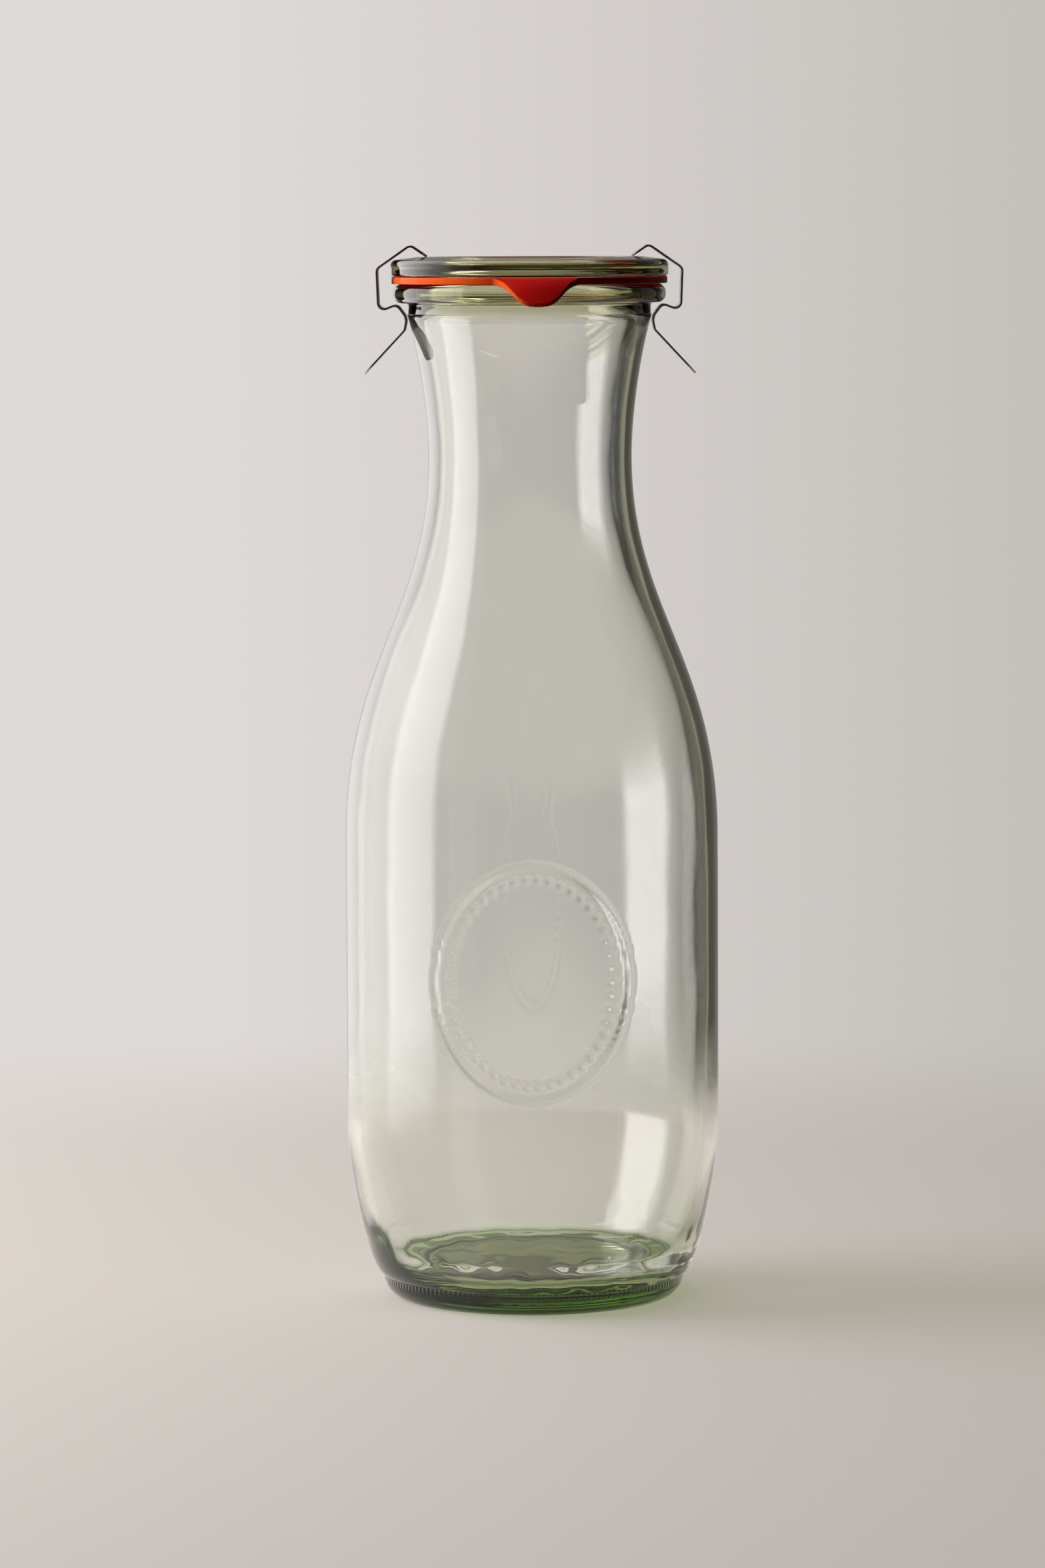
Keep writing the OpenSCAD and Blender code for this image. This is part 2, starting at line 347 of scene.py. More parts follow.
# The room's colour by compass direction: 0 degrees is behind the bottle and -90 is to its left.
# "seen" is what the camera sees, "through" what it sees through glass, "outer" what the outsides mirror,
# "inner" what is mirrored inside the glass, and "fill" what lights everything else.
pale, dark, dim = (0.70, 0.665, 0.64), (0.015, 0.014, 0.011), (0.11, 0.105, 0.09)
room = {
    "seen": [(-180, pale), (-14, (0.745, 0.708, 0.687)), (-2.8, (0.735, 0.70, 0.68)),
             (1.1, (0.645, 0.61, 0.587)), (4.9, (0.54, 0.515, 0.49)), (8, (0.54, 0.515, 0.49)),
             (24, pale), (180, pale)],
    "through": [(-180, pale), (-40, pale), (-25, (1.05, 1.0, 0.97)), (-20, (1.0, 0.95, 0.93)),
                (-15, (0.72, 0.68, 0.665)), (-8, (0.68, 0.637, 0.63)), (-3, (0.615, 0.573, 0.572)),
                (3, (0.585, 0.545, 0.543)), (8.5, (0.45, 0.42, 0.41)), (11.0, (0.38, 0.355, 0.34)),
                (11.8, dark), (30, dark), (60, pale), (180, pale)],
    "outer": [(-180, dark), (-134, dark), (-126, (0.5, 0.49, 0.48)), (-115, (0.5, 0.49, 0.48)),
              (-104, (1.5, 1.46, 1.42)), (-90, (1.9, 1.86, 1.82)), (-76, (3.0, 2.94, 2.88)),
              (-64, (3.5, 3.43, 3.36)), (-44, (3.5, 3.43, 3.36)), (-30, (2.5, 2.44, 2.38)),
              (-14, (1.3, 1.26, 1.22)), (-4, (0.3, 0.285, 0.27)), (30, (0.2, 0.19, 0.16)),
              (58, (0.16, 0.155, 0.13)), (66, dark), (180, dark)],
    "inner": [(-180, dim), (-116, dark), (-111, (5.7, 5.3, 5.9)), (-78, (5.1, 4.75, 5.3)),
              (-72, (1.0, 0.98, 0.96)), (-60, dim), (8, dim), (18, dark), (32, (0.06, 0.06, 0.045)),
              (35, (0.32, 0.31, 0.25)), (49, (0.22, 0.215, 0.17)), (53, dark), (100, dark), (140, dim)],
    "fill": [(-180, (0.10, 0.095, 0.09)), (-135, (0.24, 0.23, 0.22)), (-90, (0.50, 0.49, 0.47)),
             (0, (0.30, 0.29, 0.28)), (60, (0.06, 0.06, 0.06)), (90, (0.015, 0.015, 0.02)),
             (150, (0.03, 0.03, 0.035)), (180, (0.10, 0.095, 0.09))],
    "ceiling": (0.3, 0.29, 0.28),
    "ceilingFrom": (42.0, 60.0),    # degrees above level
}


def worldNodes(g):
    dx, dy, dz = g.parts(g.node("ShaderNodeTexCoord").out("Generated"))
    turn = g.maths("ARCTAN2", dx, dy) * (0.5 / math.pi) + 0.5
    rise = g.maths("ARCSINE", dz) * (180 / math.pi)

    def band(name):
        stops = [(0.5 + angle / 360, colour) for angle, colour in room[name]]
        return g.node("ShaderNodeValToRGB", {"stops": stops}, {0: turn}).out()

    path = g.node("ShaderNodeLightPath")
    mirrored = g.maths("GREATER_THAN", path.out("Glossy Depth"), 0.5)
    within = g.maths("GREATER_THAN", path.out("Transmission Depth"), 0.5)
    above = g.smooth(rise, *room["ceilingFrom"])
    mirror = g.blend(above, g.blend(within, band("outer"), band("inner")), room["ceiling"])
    colour = g.blend(mirrored, band("fill"), mirror)
    clear = path.out("Is Transmission Ray") * (1.0 - mirrored)
    colour = g.blend(clear, colour, band("through"))
    colour = g.blend(path.out("Is Camera Ray"), colour, band("seen"))
    light = g.node("ShaderNodeBackground", None, {"Color": colour, "Strength": 1.0})
    g.node("ShaderNodeOutputWorld", None, {"Surface": light})


scene.world = bpy.data.worlds.new("studio")
scene.world.use_nodes = True
scene.world.node_tree.nodes.clear()
worldNodes(Graph(scene.world.node_tree))
print("camera, floor and light are set")

glass = {
    "index": 1.52, "rough": 0.01,
    "shade": (0.972, 0.972, 0.96),    # what a shadow ray keeps at each surface
    "clear": (0.99, 0.995, 0.985),
    "deep": (0.13, 0.29, 0.04), "deepTo": (4.6 * mm, 7.6 * mm),     # the thick glass of the base: its own green, darkened by painted shade
    "pool": (0.92, 0.95, 0.76), "poolTo": (28.5 * mm, 32.0 * mm),   # its middle is paler
    "paintedShade": (0.005, 0.022, 0.002),     # painted shade: dark green, low on the left of the heel
    "paintedShadeTop": (-15.8 * mm, -18.6 * mm), "paintedShadeLean": 0.91, "paintedShadeWave": 2 * mm, "paintedShadeScale": 160.0,
    "paintedShadeFront": (0.0, -8 * mm), "paintedShadeRim": (-42.5 * mm, -40 * mm),
    "olive": (0.74, 0.75, 0.53),    # the thick glass of the rim and the lid
    "oliveFrom": (238 * mm, 242 * mm),
    "pits": 0.007 * mm, "pitScale": 130.0,
    "drag": 0.002 * mm, "dragScale": 300.0, "dragLength": 0.25,     # fine lines drawn upwards
    "seam": 0.03 * mm, "seamW": 0.35 * mm, "seamFrom": (5 * mm, 8 * mm),
    "knurl": 0.08 * mm, "knurls": 168, "knurlZ": 5.0 * mm, "knurlBand": 0.9 * mm,
}


def glassSurface(g, height, skin, tint, density):  # skin colours each surface, tint what lies between
    bump = g.node("ShaderNodeBump", None, {"Strength": 1.0, "Distance": 1.0, "Height": height})
    body = g.node("ShaderNodeBsdfPrincipled", None,
                  {"Base Color": skin, "Roughness": glass["rough"], "IOR": glass["index"],
                   "Transmission Weight": 1.0, "Normal": bump})
    lit = g.node("ShaderNodeBsdfTransparent", None, {"Color": (*glass["shade"], 1)})
    shadow = g.node("ShaderNodeLightPath").out("Is Shadow Ray")
    depth = g.node("ShaderNodeVolumeAbsorption", None, {"Color": (*tint, 1), "Density": density})
    return {"Surface": g.node("ShaderNodeMixShader", None, {0: shadow, 1: body, 2: lit}), "Volume": depth}


def skinHeight(g, place):
    pits = g.noise(place, glass["pitScale"], 1.0, 0.4, 2.0)
    drag = g.noise(g.stretched(place, (1.0, 1.0, glass["dragLength"])), glass["dragScale"], 2.0, 0.5, 5.0)
    return pits * glass["pits"] + drag * glass["drag"]


def bottleNodes(g):
    place = g.node("ShaderNodeTexCoord").out("Object")
    x, y, z = g.parts(place)
    seam = g.smooth(abs(y), glass["seamW"], glass["seamW"] * 0.2) * g.smooth(z, *glass["seamFrom"])
    wave = g.maths("SINE", g.maths("ARCTAN2", y, x) * float(glass["knurls"]))
    knurl = wave * g.smooth(abs(z - glass["knurlZ"]), glass["knurlBand"], glass["knurlBand"] * 0.5)
    height = skinHeight(g, place) + seam * glass["seam"] + knurl * glass["knurl"]
    spread = g.maths("SQRT", x * x + y * y)
    # low on the base the skin is paler in the middle and dark green towards its edge; that dark green is
    # partly the green of thick glass, partly painted shade
    skin = g.blend(g.smooth(spread, *glass["poolTo"]), glass["pool"], glass["deep"])
    skin = g.blend(g.smooth(z, *glass["deepTo"]), skin, glass["clear"])
    # painted shade: a dark green patch low on the left of the heel, fixed to the bottle's own coordinates
    ragged = g.wander(place, glass["paintedShadeScale"], 2.0, 1.0) * glass["paintedShadeWave"]
    low = g.smooth(z + x * glass["paintedShadeLean"] + ragged, *glass["paintedShadeTop"])
    paintedShade = low * g.smooth(y, *glass["paintedShadeFront"]) * g.smooth(x, *glass["paintedShadeRim"])
    skin = g.blend(paintedShade, skin, glass["paintedShade"])
    skin = g.blend(g.smooth(z, *glass["oliveFrom"]), skin, glass["olive"])
    return glassSurface(g, height, skin, bottle["tint"], bottle["density"])


bottle = {      # millimetres: R is a radius and Z a height above the table
    "tint": (0.60, 0.71, 0.39),
    "density": 36.0,       # a channel fades by density * (1 - tint) for each metre of glass
    "bodyR": 45.5, "heelTopZ": 41.0, "shoulderZ": 113.0, "wall": 2.8,
    "heelR": 37.1, "heelZ": 5.6,
    "standR": 32.0, "standW": 2.0, "standEdge": 0.6, "pushUp": 2.6,
    "floorZ": 8.8, "floorR": 3.5,
    "heelExtra": 3.2,      # how much thicker the wall is at the heel
    "neckR": 24.7, "neckZ": 206.0, "flareR": 29.7, "flareZ": 240.4,
    "step": 0.25, "heelStep": 0.15, "collarStep": 0.12,     # the small steps at the heel and the collar
    "beadR": 33.1, "beadZ": 243.2, "topZ": 247.8, "mouthR": 27.4, "mouthDepth": 3.6,
    # how far each curve of the outline keeps its direction at its lower and its upper end
    "basePull": (2.6, 3.3), "heelPull": (3.5, 0.6, 8.7),
    "shoulderPull": (43.7, 37.9), "neckPull": (8.4, 3.3, 11.4),
    # the roundings of the collar, the bead and the lip
    "collarEdge": 0.1, "beadUnder": 0.8, "beadLow": 1.9, "beadTop": 2.1, "lipEdge": 0.5, "lipFoot": 0.3,
    "columns": 216,
    "gather": 0.6,         # how much closer the columns stand at the front
    # the distance between rows in each stretch of the outside and the inside
    "rows": {"under": 2.5, "edge": 0.6, "body": 1.5, "oval": 0.56, "shoulder": 2.1, "neck": 1.7},
    "rowsInside": {"floor": 1.2, "heel": 1.8, "body": 4.0, "shoulder": 3.0, "neck": 2.4},
    "ovalW": 48.0, "ovalH": 58.0, "ovalZ": 82.0, "ovalMargin": 1.5, "band": 1.7, "relief": 0.5,
    "pearls": 46, "pearlIn": 4.2, "pearlR": 1.05, "pearlRise": 0.32,
    "skinWave": 0.035, "insideWave": 0.16, "cornerWave": 0.5, "floorWave": 0.28, "seed": 4.0,
    "waveScale": {"skin": 38.0, "inside": 42.0, "corner": 130.0, "floor": 90.0},
    # where the waves and the oval come in or die out, in height, radius, height over the floor, and depth
    "fades": {"skinLow": (3, 12), "skinHigh": (240.5, 232), "inside": (232, 212),
              "cornerR": (24, 31), "cornerOver": (12, 4), "floorOver": (4, 1), "ovalFront": (-10, -20)},
}


def bottleSection(b):  # the outer and the inner line, as (radius, height)
    out, up, down = b["heelPull"]
    heel = cubic((b["heelR"], b["heelZ"]), (b["heelR"] + out, b["heelZ"] + up),
                 (b["bodyR"], b["heelTopZ"] - down), (b["bodyR"], b["heelTopZ"]))
    up, down = b["shoulderPull"]
    shoulder = cubic((b["bodyR"], b["shoulderZ"]), (b["bodyR"], b["shoulderZ"] + up),
                     (b["neckR"], b["neckZ"] - down), (b["neckR"], b["neckZ"]))
    up, back, down = b["neckPull"]
    neck = cubic((b["neckR"], b["neckZ"]), (b["neckR"], b["neckZ"] + up),
                 (b["flareR"] - back, b["flareZ"] - down), (b["flareR"], b["flareZ"]))
    standIn = b["standR"] - b["standW"]
    waist, hemZ = b["heelR"] - b["step"], b["heelZ"] - b["heelStep"]
    stand = rounded([(standIn - 3, b["pushUp"], 0), (standIn, 0, b["standEdge"]),
                     (b["standR"] - b["standW"] / 2, 0, 0)], 5)
    out, down = b["basePull"]
    base = stand + cubic((b["standR"], 0), (b["standR"] + out, 0), (waist, hemZ - down), (waist, hemZ), 24)
    collarR, mouthZ = b["flareR"] - b["step"], b["topZ"] - b["mouthDepth"]
    rim = rounded([(b["flareR"], b["flareZ"], 0),
                   (collarR, b["flareZ"] + b["collarStep"], b["collarEdge"]),
                   (collarR, b["beadZ"], b["beadUnder"]), (b["beadR"], b["beadZ"], b["beadLow"]),
                   (b["beadR"], b["topZ"], b["beadTop"]), (b["mouthR"], b["topZ"], b["lipEdge"]),
                   (b["mouthR"], mouthZ, b["lipFoot"]), (b["flareR"] - b["wall"], mouthZ - 0.1, 0)], 7)

    def inside(line, extra=0.0):  # a wall's thickness in, and extra more at the line's start
        n = len(line) - 1
        return [(r - b["wall"] - extra * (1 - i / n) ** 2, z) for i, (r, z) in enumerate(line)]

    heelInside = [p for p in inside(heel, b["heelExtra"]) if p[1] > b["floorZ"] + b["floorR"] + 1]
    first = heelInside[0]
    ground = rounded([(0, b["floorZ"], 0), (first[0] - 1, b["floorZ"] - 1, b["floorR"]), (*first, 0)], 12)
    margin, rows, within = b["ovalH"] / 2 + b["ovalMargin"], b["rows"], b["rowsInside"]
    low, high = (b["bodyR"], b["ovalZ"] - margin), (b["bodyR"], b["ovalZ"] + margin)
    outer = joined(respaced([(0, b["pushUp"]), base[0]], rows["under"]), respaced(base, rows["edge"]),
                   thinned(heel, rows["body"]), respaced([heel[-1], low], rows["body"]),
                   respaced([low, high], rows["oval"]), respaced([high, shoulder[0]], rows["body"]),
                   thinned(shoulder, rows["shoulder"]), thinned(neck, rows["neck"]),
                   respaced(rim, rows["edge"]))
    inner = joined(respaced(ground, within["floor"]), thinned(heelInside, within["heel"]),
                   respaced([heelInside[-1], inside(shoulder)[0]], within["body"]),
                   thinned(inside(shoulder), within["shoulder"]), thinned(inside(neck), within["neck"]))
    return outer, inner[::-1]


def turnedGrid(g, entry, gather):  # a grid wrapped round the axis, one row for each point of the wire
    wire = entry.out("Geometry")
    size = g.node("GeometryNodeAttributeDomainSize", {"component": "MESH"}, {"Geometry": wire})
    count = size.out("Point Count")
    grid = g.node("GeometryNodeMeshGrid", None,
                  {"Size X": 1.0, "Size Y": 1.0, "Vertices X": entry.out("Columns") + 1, "Vertices Y": count})
    u, v, level = g.parts(g.node("GeometryNodeInputPosition"))
    row = g.maths("ROUND", (v + 0.5) * (count - 1))
    sample = g.node("GeometryNodeSampleIndex", {"data_type": "FLOAT_VECTOR"},
                    {"Geometry": wire, "Value": g.node("GeometryNodeInputPosition"), "Index": row})
    radius, level, height = g.parts(sample)
    angle = u * (2 * math.pi)
    if gather is not None:
        angle = angle - gather * g.maths("SINE", angle)
    around = g.join(radius * g.maths("SINE", angle), -(radius * g.maths("COSINE", angle)), height)
    numbered = g.node("GeometryNodeStoreNamedAttribute", {"data_type": "FLOAT", "domain": "POINT"},
                      {"Geometry": grid.out("Mesh"), "Name": "row", "Value": row})
    turned = g.node("GeometryNodeSetPosition", None, {"Geometry": numbered, "Position": around})
    return g.node("GeometryNodeMergeByDistance", None, {"Geometry": turned, "Distance": 0.001 * mm})


def pushed(g, shape, amount):  # moves the surface out by amount, and lets it shade smooth
    normal = g.node("GeometryNodeInputNormal").out()
    push = g.node("ShaderNodeVectorMath", {"operation": "SCALE"}, {0: normal, "Scale": amount})
    waved = g.node("GeometryNodeSetPosition", None, {"Geometry": shape, "Offset": push})
    cleaned = g.node("GeometryNodeRemoveAttribute", None, {"Geometry": waved, "Name": "row"})
    return g.node("GeometryNodeSetShadeSmooth", None, {"Geometry": cleaned})


def ovalRise(g, entry, x, z):  # height of the oval's band and its pearls above the body
    a, b = entry.out("Oval width") * 0.5, entry.out("Oval height") * 0.5
    ex, ez = x / a, (z - entry.out("Oval centre")) / b
    f = g.maths("SQRT", ex * ex + ez * ez + 1e-9)
    slope = g.maths("SQRT", (ex / a) * (ex / a) + (ez / b) * (ez / b) + 1e-9) / f
    off = (f - 1.0) / slope     # distance outside the oval's edge
    half = entry.out("Band width") * 0.5
    ridge = g.smooth(abs(off + half), half * 1.15, half * 0.45)
    count, inset = entry.out("Pearls"), entry.out("Pearl inset")
    t = g.maths("ARCTAN2", ez, ex) * (count * (0.5 / math.pi))
    near = (t - g.maths("ROUND", t)) * (2 * math.pi / count)
    along = near * g.maths("SQRT", (ez * (a - inset)) ** 2.0 + (ex * (b - inset)) ** 2.0) / f
    ball = g.maths("SQRT", along * along + (off + inset) * (off + inset)) / entry.out("Pearl radius")
    pearl = g.maths("SQRT", g.maths("MAXIMUM", 1.0 - ball * ball, 0.0))
    return ridge * entry.out("Relief") + pearl * entry.out("Pearl rise")


def bottleShape(g, entry):
    closed = turnedGrid(g, entry, entry.out("Gather"))
    row = g.node("GeometryNodeInputNamedAttribute", {"data_type": "FLOAT"}, {"Name": "row"}).out()
    x, y, z = g.parts(g.node("GeometryNodeInputPosition"))
    inside = g.maths("GREATER_THAN", row, entry.out("Outer rows") - 0.5)
    fade = {name: (low * mm, high * mm) for name, (low, high) in bottle["fades"].items()}
    rise = ovalRise(g, entry, x, z) * (1.0 - inside) * g.smooth(y, *fade["ovalFront"])
    r = g.maths("SQRT", x * x + y * y + 1e-12)      # a little more than nothing, so that the axis divides
    raised = g.node("GeometryNodeSetPosition", None,
                    {"Geometry": closed, "Offset": g.join(x / r * rise, y / r * rise, 0.0)})
    place, seed = g.node("GeometryNodeInputPosition").out(), entry.out("Seed")
    scale = bottle["waveScale"]
    over = z - entry.out("Floor height")
    skin = g.wander(place, scale["skin"], 1.0, seed) * entry.out("Skin wave")
    skin = skin * g.smooth(z, *fade["skinLow"]) * g.smooth(z, *fade["skinHigh"])
    slow = g.wander(place, scale["inside"], 2.0, seed + 3.0) * entry.out("Inside wave")
    slow = slow * g.smooth(z, *fade["inside"])
    corner = g.wander(place, scale["corner"], 1.0, seed + 7.0) * entry.out("Corner wave")
    corner = corner * g.smooth(r, *fade["cornerR"]) * g.smooth(over, *fade["cornerOver"])
    pool = g.wander(g.stretched(place, (0.6, 1.0, 1.0)), scale["floor"], 1.5, seed + 11.0)
    pool = pool * entry.out("Floor wave") * g.smooth(over, *fade["floorOver"])
    return pushed(g, raised, inside * (slow + corner + pool) + (1.0 - inside) * skin)


outerLine, innerLine = bottleSection(bottle)
bottleInputs = {
    "Columns": ("Int", bottle["columns"]), "Gather": ("Float", bottle["gather"]),
    "Outer rows": ("Int", len(outerLine)), "Oval width": ("Float", bottle["ovalW"] * mm),
    "Oval height": ("Float", bottle["ovalH"] * mm), "Oval centre": ("Float", bottle["ovalZ"] * mm),
    "Band width": ("Float", bottle["band"] * mm), "Relief": ("Float", bottle["relief"] * mm),
    "Pearls": ("Int", bottle["pearls"]), "Pearl inset": ("Float", bottle["pearlIn"] * mm),
    "Pearl radius": ("Float", bottle["pearlR"] * mm), "Pearl rise": ("Float", bottle["pearlRise"] * mm),
    "Skin wave": ("Float", bottle["skinWave"] * mm), "Inside wave": ("Float", bottle["insideWave"] * mm),
    "Corner wave": ("Float", bottle["cornerWave"] * mm), "Floor wave": ("Float", bottle["floorWave"] * mm),
    "Floor height": ("Float", bottle["floorZ"] * mm), "Seed": ("Float", bottle["seed"]),
    "Material": ("Material", finish("bottle glass", bottleNodes)),
}


def turned(name, line, inputs, shape):  # a piece grown by turning its line about the axis
    kinds = {label: kind for label, (kind, value) in inputs.items()}
    values = {label: value for label, (kind, value) in inputs.items()}
    return settled(grown(name, section(line), geometryTree("turned " + name, kinds, shape), values))


bottlePiece = turned("bottle_glass", joined(outerLine, innerLine), bottleInputs, bottleShape)
dressed(bottlePiece, "glass", "bottle")

lid = {         # millimetres
    "tint": (0.64, 0.63, 0.37), "density": 38.0,
    "seat": 1.7,           # how far its underside stands over the rim
    "r": 33.75, "height": 4.8, "slope": 0.8, "edgeR": 1.5, "underR": 0.9,
    "ridgeR": 27.2, "ridgeW": 1.7, "ridgeOut": 1.5, "ridgeIn": 0.2,
    "panelDip": 0.4, "panelEdge": 0.15,
    "plugGap": 0.7, "plugDrop": 3.7, "plugW": 5.0, "plugRoot": 0.2, "plugEdge": 0.8,
    "hollowRise": 1.9, "hollowEdge": 1.2,      # the hollow under the panel, up into the lid
    "columns": 224, "row": 0.55, "wave": 0.05, "waveScale": 90.0, "seed": 9.0,
}
lidZ = bottle["topZ"] + lid["seat"]
ridgeZ = lidZ + lid["height"]
panelR, panelZ = lid["ridgeR"] - lid["ridgeW"], ridgeZ - lid["panelDip"]
plugR = bottle["mouthR"] - lid["plugGap"]


def lidNodes(g):
    place = g.node("ShaderNodeTexCoord").out("Object")
    return glassSurface(g, skinHeight(g, place), (*glass["olive"], 1.0), lid["tint"], lid["density"])


def lidSection(d):
    hollowR, plugZ, hollowZ = plugR - d["plugW"], lidZ - d["plugDrop"], lidZ + d["hollowRise"]
    line = rounded([(0, panelZ, 0), (panelR, panelZ, d["panelEdge"]), (panelR, ridgeZ, d["ridgeIn"]),
                    (d["ridgeR"], ridgeZ, d["ridgeOut"]), (d["r"], ridgeZ - d["slope"], d["edgeR"]),
                    (d["r"], lidZ, d["underR"]), (plugR, lidZ, d["plugRoot"]),
                    (plugR, plugZ, d["plugEdge"]), (hollowR, plugZ, d["plugEdge"]),
                    (hollowR, hollowZ, d["hollowEdge"]), (0, hollowZ, 0)], 7)
    return respaced(line[::-1], d["row"])   # upward on the outside, so that the faces point out


def lidShape(g, entry):
    closed = turnedGrid(g, entry, None)
    place = g.node("GeometryNodeInputPosition").out()
    return pushed(g, closed, g.wander(place, lid["waveScale"], 1.5, entry.out("Seed")) * entry.out("Wave"))


lidInputs = {"Columns": ("Int", lid["columns"]), "Wave": ("Float", lid["wave"] * mm),
             "Seed": ("Float", lid["seed"]), "Material": ("Material", finish("lid glass", lidNodes))}
lidPiece = turned("lid_glass", lidSection(lid), lidInputs, lidShape)
dressed(lidPiece, "closure", "lid")

ring = {        # millimetres, and the tab's turn in degrees
    "gap": 0.02,            # between the ring and the glass above and below it
    "plugGap": 0.3, "outerR": 33.5, "edgeR": 0.25, "edgeThin": 0.6, "sharp": 50,
    "tabW": 21.4, "tabOut": 5.0, "tabDrop": 5.0, "tabTurn": 3.0, "tipThick": 1.15,
    "tabPower": 1.62,       # above 1 the bell keeps full for longer before it falls away
    "tabRoot": 0.12,        # the share of the bell over which the flat ring begins to droop
    "droopOut": 2.0, "droopIn": 1.6, "droopDown": 2.7,      # how the droop leaves the ring and meets the tip
    "columns": 420, "tabColumns": 150, "across": 26,
    "outward": 0.8, "beforeEdge": 0.96,     # crowds the points outward, and stops them short of the edge
    "colour": (0.60, 0.004, 0.003), "bloom": (0.80, 0.12, 0.06),
    "lit": (0.88, 0.10, 0.006), "litSide": (0.0, -0.55),        # between these values of the normal's x
    "shade": (0.22, 0.003, 0.005), "shadeSide": (0.06, 0.5),
    "cloud": 180.0, "fine": 2600.0, "roughness": (0.38, 0.5), "bump": 0.03,
}


def rubberNodes(g):
    coordinates = g.node("ShaderNodeTexCoord")
    place = coordinates.out("Object")
    nx, ny, nz = g.parts(coordinates.out("Normal"))
    cloud = g.noise(place, ring["cloud"], 3.0, 0.55, 1.0)
    fine = g.noise(place, ring["fine"], 2.0, 0.5, 3.0)
    colour = g.blend(g.smooth(nx, *ring["litSide"]), ring["colour"], ring["lit"])
    colour = g.blend(g.smooth(nx, *ring["shadeSide"]), colour, ring["shade"])
    colour = g.blend(g.smooth(cloud, 0.5, 0.8) * 0.05, colour, ring["bloom"])
    bump = g.node("ShaderNodeBump", None,
                  {"Strength": 0.4, "Distance": ring["bump"] * mm, "Height": fine + cloud})
    rough = g.smooth(cloud, 0.2, 0.8, *ring["roughness"])
    return {"Surface": g.node("ShaderNodeBsdfPrincipled", None,
                              {"Base Color": colour, "Roughness": rough, "IOR": 1.5,
                               "Specular IOR Level": 0.15, "Normal": bump})}


def ringOutline(d):  # for each column: its angle, its place in the tab's bell (0 to 1), its outer radius
    halfTurn = math.asin(d["tabW"] / 2 / d["outerR"])
    out = []
    for i in range(d["tabColumns"] + 1):
        place = 2 * i / d["tabColumns"] - 1
        x = place * d["tabW"] / 2
        bell = (1 + math.cos(math.pi * abs(place) ** d["tabPower"])) / 2
        reach = math.sqrt(d["outerR"] ** 2 - x * x) + d["tabOut"] * bell
        out.append((math.atan2(x, reach), bell, math.hypot(x, reach)))
    rest = d["columns"] - d["tabColumns"]
    for i in range(1, rest):
        out.append((halfTurn + (2 * math.pi - 2 * halfTurn) * i / rest, 0.0, d["outerR"]))
    return out


def ringLoop(d, bell, limit):  # the sheet's closed outline in one column, as (radius, height)
    half, low, step = lid["seat"] / 2 - d["gap"], bottle["topZ"] + d["gap"], 0.05
    middle, tipR, tipZ = low + half, d["outerR"] + d["tabOut"], low - d["tabDrop"]
    droop = cubic((d["outerR"] - d["droopOut"], middle), (d["outerR"] + d["droopOut"], middle),
                  (tipR - d["droopIn"], tipZ + d["droopDown"]), (tipR + 0.06, tipZ), 80)
    path = [(plugR + d["plugGap"], middle)] + [p for p in droop if p[0] < limit - step]
    last = next((p for p in droop if p[0] >= limit - step), droop[-1])
    t = min(1.0, (limit - path[-1][0]) / max(last[0] - path[-1][0], 1e-6))
    path.append((path[-1][0] + (last[0] - path[-1][0]) * t, path[-1][1] + (last[1] - path[-1][1]) * t))
    flat = min(1.0, bell / d["tabRoot"])    # away from the tab the ring is flat
    path = [(r, middle + (z - middle) * flat) for r, z in path]
    fine = thinned(path, step)
    tip = half - (half - d["tipThick"] / 2) * bell
    edge = d["edgeR"] * (1 - d["edgeThin"] * bell)

    def face(share, side):    # a point of the lower (side -1) or the upper face
        r, z = fine[round(share * (len(fine) - 1))]
        return r, z + side * (half + (tip - half) * share ** 3), 0

    shares = [(i / d["across"]) ** d["outward"] * d["beforeEdge"] for i in range(d["across"] + 1)]
    (r, z), faces = fine[-1], [[face(share, side) for share in shares] for side in (-1, 1)]
    return rounded(faces[0] + [(r, z - tip, edge), (r, z + tip, edge)] + faces[1][::-1], 5)


def ringMesh(d):
    vertices, faces = [], []
    outline = ringOutline(d)
    for angle, bell, limit in outline:
        turn = angle + math.radians(d["tabTurn"])
        loop = ringLoop(d, bell, limit)
        vertices += [(r * math.sin(turn) * mm, -r * math.cos(turn) * mm, z * mm) for r, z in loop]
    count, total = len(loop), len(outline)
    for i in range(total):
        a, b = i * count, (i + 1) % total * count
        faces += [(a + k, b + k, b + (k + 1) % count, a + (k + 1) % count) for k in range(count)]
    return vertices, faces


ringVertices, ringFaces = ringMesh(ring)
ringData = bpy.data.meshes.new("rubber_ring")
ringData.from_pydata(ringVertices, [], ringFaces)
ringData.materials.append(finish("red rubber", rubberNodes))
ringPiece = bpy.data.objects.new("rubber_ring", ringData)
scene.collection.objects.link(ringPiece)
ringData.polygons.foreach_set("use_smooth", [True] * len(ringData.polygons))
ringData.set_sharp_from_angle(angle=math.radians(ring["sharp"]))
dressed(ringPiece, "closure", "sealing_ring")

clamp = {       # millimetres
    "thick": 0.5, "width": 13.0, "tailR": 3.0, "footR": 2.0, "edge": 0.07, "sharp": 40,
    # the bends, each (out, up) from the glass that it clears
    "foot": (-0.6, 0.55), "topBend": (3.4, 3.3),            # from the edge of the lid's panel
    "knee": (3.3, 2.0),                                     # from the lid's lower edge
    "hookLow": (3.55, -2.1), "hookTop": (-0.9, -0.35),      # from the underside of the bead
    "grip": (-3.35, -3.6), "tailBend": (-2.75, -6.6),
    "bendR": 1.5, "gripR": 3.0, "tailLen": 14.4, "tailAngle": 47.0,
    "rows": 240, "across": 12,
    "steel": (0.30, 0.29, 0.28), "steelShade": 0.72, "roughness": (0.2, 0.42),
    "lines": 900.0, "cloud": 120.0, "bump": 0.01,
}


